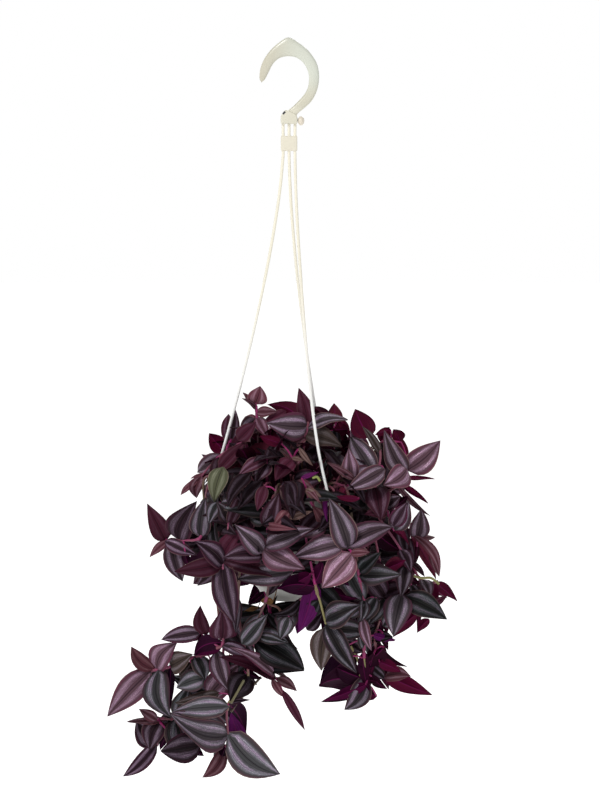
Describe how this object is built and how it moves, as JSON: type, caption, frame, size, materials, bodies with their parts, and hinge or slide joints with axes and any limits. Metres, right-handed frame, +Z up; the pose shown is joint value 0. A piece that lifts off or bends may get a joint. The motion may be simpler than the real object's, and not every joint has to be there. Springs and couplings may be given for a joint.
{
  "type": "potted inch plant",
  "caption": "Trailing purple inch plant in a white plastic hanging pot on three slim strands under one curved plastic hook.",
  "frame": {"origin": "top of the inside of the hook's bend, on the plane of the hook, where a rod or a ceiling hook carries it", "axes": "+Z up along the strands, +X to the right of the side that the picture shows, +Y away from that side"},
  "size_m": [0.3598, 0.2915, 0.7561],
  "materials": {
    "hook_plastic": "glossy, slightly translucent greenish white moulded plastic",
    "strand_plastic": "satin cream moulded plastic",
    "pot_plastic": "satin white thin-walled plastic",
    "soil": null,
    "foliage": null
  },
  "bodies": {
    "root": {"hook": "hook_plastic", "pin": "strand_plastic", "strand_clip": "strand_plastic", "strand_left": "strand_plastic", "strand_front": "strand_plastic", "strand_back": "strand_plastic", "pot": "pot_plastic", "soil": "soil", "crown_left": "foliage", "crown_middle": "foliage", "crown_mid_right": "foliage", "crown_right": "foliage", "crown_back_right": "foliage", "crown_back_mid": "foliage", "crown_left_back": "foliage", "crown_left_front": "foliage", "crown_front_left": "foliage", "crown_front": "foliage", "crown_front_right": "foliage", "side_left": "foliage", "front_left": "foliage", "front_middle": "foliage", "front_right": "foliage", "side_right": "foliage", "side_right_far": "foliage", "low_right_side": "foliage", "low_right_far": "foliage", "low_middle": "foliage", "low_right": "foliage", "low_right_hanging": "foliage", "trail_left_middle": "foliage", "trail_left_outer": "foliage", "trail_left_front": "foliage", "pot_front": "foliage", "trail_left_low": "foliage", "trail_left_back": "foliage", "back_trail_0": "foliage", "back_trail_1": "foliage", "back_trail_2": "foliage", "back_trail_3": "foliage", "back_trail_4": "foliage", "back_trail_5": "foliage", "back_trail_6": "foliage", "back_crown_7": "foliage", "back_crown_8": "foliage"}
  },
  "joints": []
}
